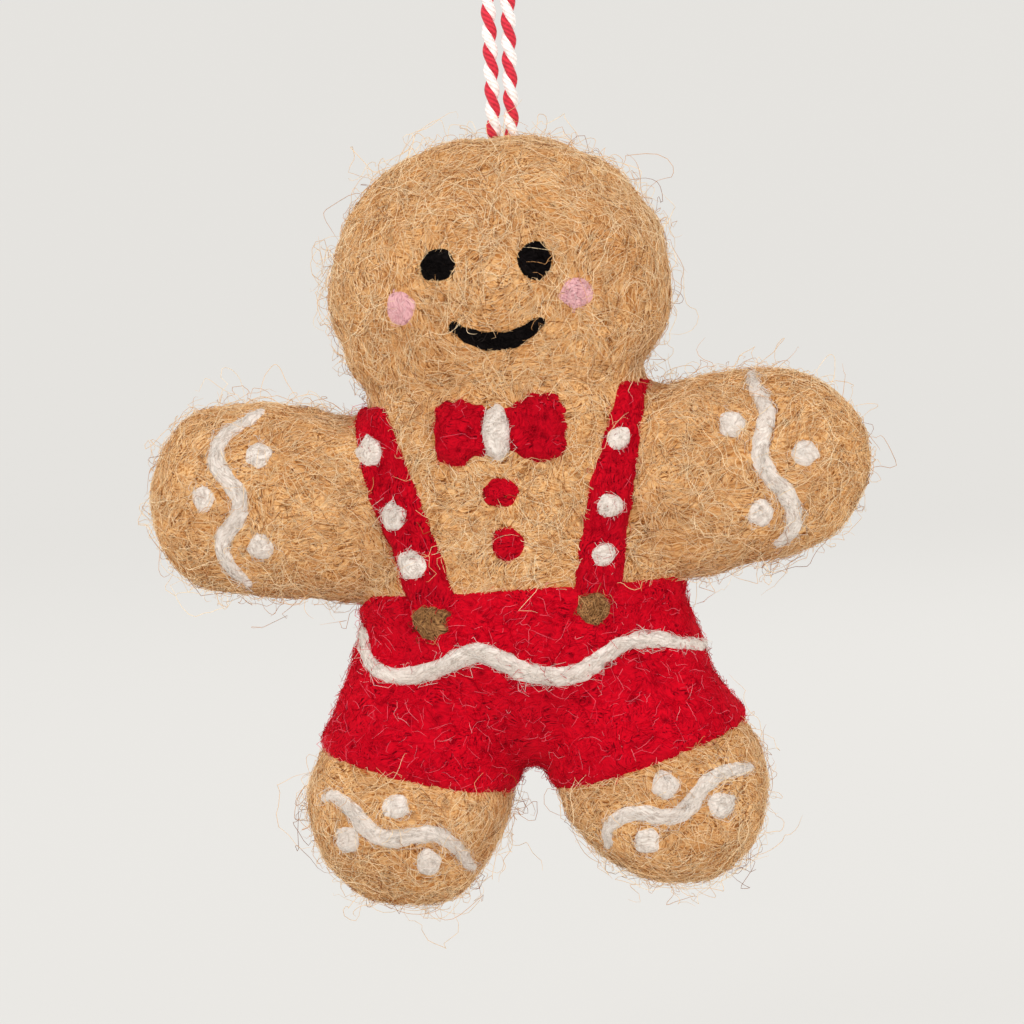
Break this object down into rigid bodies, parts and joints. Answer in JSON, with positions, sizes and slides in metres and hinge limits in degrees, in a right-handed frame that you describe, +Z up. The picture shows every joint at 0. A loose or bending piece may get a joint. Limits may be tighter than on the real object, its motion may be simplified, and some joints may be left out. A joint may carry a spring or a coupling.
{
  "type": "felt christmas ornament",
  "caption": "Needle-felted gingerbread figure in red shorts with braces, a bow tie and white icing, hung from a doubled loop of twisted twine.",
  "frame": {"origin": "the hang point, under the top bend of the twine loop, where it rests on a branch or hook", "axes": "+Z up along the hanging twine, the figure's front faces -Y, +X is on the viewer's right"},
  "size_m": [0.103, 0.028, 0.1786],
  "materials": {
    "tan_wool": "needle-felted wool with straw and orange fibres and stray hairs",
    "red_wool": "needle-felted wool, dense, with dark needle pits",
    "white_wool": "soft wool roving needled on as icing",
    "black_wool": "needle-felted wool, small patch",
    "pink_wool": "needle-felted wool, small patch",
    "olive_wool": "needle-felted wool, small patch",
    "twine": "red and white two-ply cotton twine, tightly twisted"
  },
  "bodies": {
    "hanger": {"twine_loop": "twine"},
    "figure": {"head": "tan_wool", "torso": "tan_wool", "arm_left": "tan_wool", "leg_left": "tan_wool", "arm_right": "tan_wool", "leg_right": "tan_wool", "shorts": "red_wool", "brace_left": "red_wool", "brace_right": "red_wool", "bow_lobe_left": "red_wool", "bow_lobe_right": "red_wool", "bow_knot": "white_wool", "chest_button_upper": "red_wool", "chest_button_lower": "red_wool", "brace_button_left": "olive_wool", "brace_button_right": "olive_wool", "eye_left": "black_wool", "eye_right": "black_wool", "mouth": "black_wool", "cheek_left": "pink_wool", "cheek_right": "pink_wool", "shorts_wave": "white_wool", "arm_wave_left": "white_wool", "foot_wave_left": "white_wool", "arm_wave_right": "white_wool", "foot_wave_right": "white_wool", "arm_dot_left_1": "white_wool", "arm_dot_left_2": "white_wool", "arm_dot_left_3": "white_wool", "foot_dot_left_1": "white_wool", "foot_dot_left_2": "white_wool", "foot_dot_left_3": "white_wool", "brace_dot_left_1": "white_wool", "brace_dot_left_2": "white_wool", "brace_dot_left_3": "white_wool", "arm_dot_right_1": "white_wool", "arm_dot_right_2": "white_wool", "arm_dot_right_3": "white_wool", "foot_dot_right_1": "white_wool", "foot_dot_right_2": "white_wool", "foot_dot_right_3": "white_wool", "brace_dot_right_1": "white_wool", "brace_dot_right_2": "white_wool", "brace_dot_right_3": "white_wool", "twine_anchor": "twine"}
  },
  "joints": [
    {"name": "swing", "type": "hinge", "parent": "hanger", "child": "figure", "pos_m": [0, 0, -0.065], "axis": [1, 0, 0], "range_deg": [-75, 75]}
  ]
}
